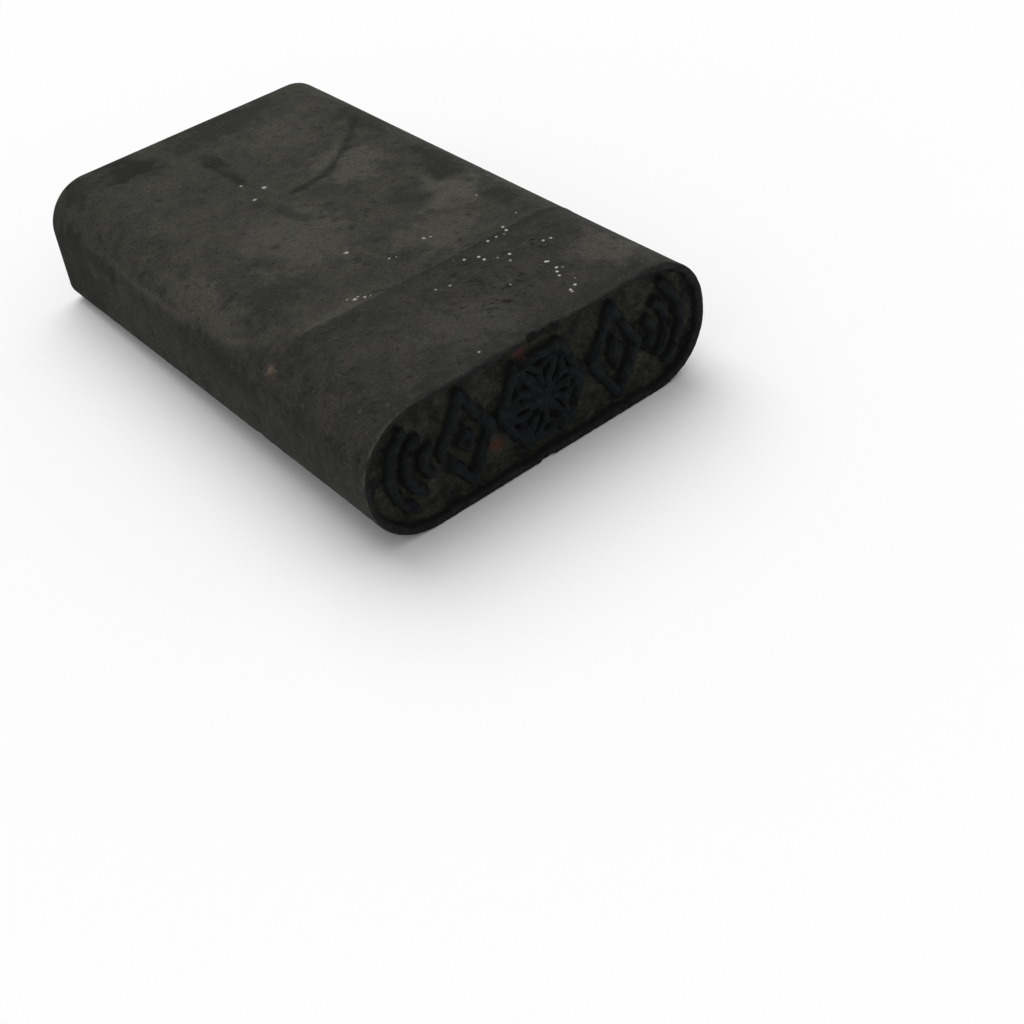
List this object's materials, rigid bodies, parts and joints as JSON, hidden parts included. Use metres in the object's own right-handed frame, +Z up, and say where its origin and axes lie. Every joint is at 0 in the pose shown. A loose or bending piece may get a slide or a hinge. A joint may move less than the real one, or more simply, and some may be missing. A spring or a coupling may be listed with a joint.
{
  "type": "wooden stamp",
  "caption": "Ink-blackened wooden hand stamp: a flat block with rounded edges, and a carved front end with a thin raised rim around a relief ornament.",
  "frame": {"origin": "on the surface that the stamp lies on, under the middle of its box", "axes": "+Z up from the flat underside, +X along the printing face, +Y from the printing face to the rear end"},
  "size_m": [0.093, 0.15, 0.032],
  "materials": {
    "handle_wood": "ink-blackened, worn by the hand",
    "die_wood": "ink-blackened, carved face crusted with dry ink",
    "peg_wood": "bare, turned"
  },
  "bodies": {
    "root": {"handle_block": "handle_wood", "die_block": "die_wood", "peg_left": "peg_wood", "peg_right": "peg_wood"}
  },
  "joints": []
}
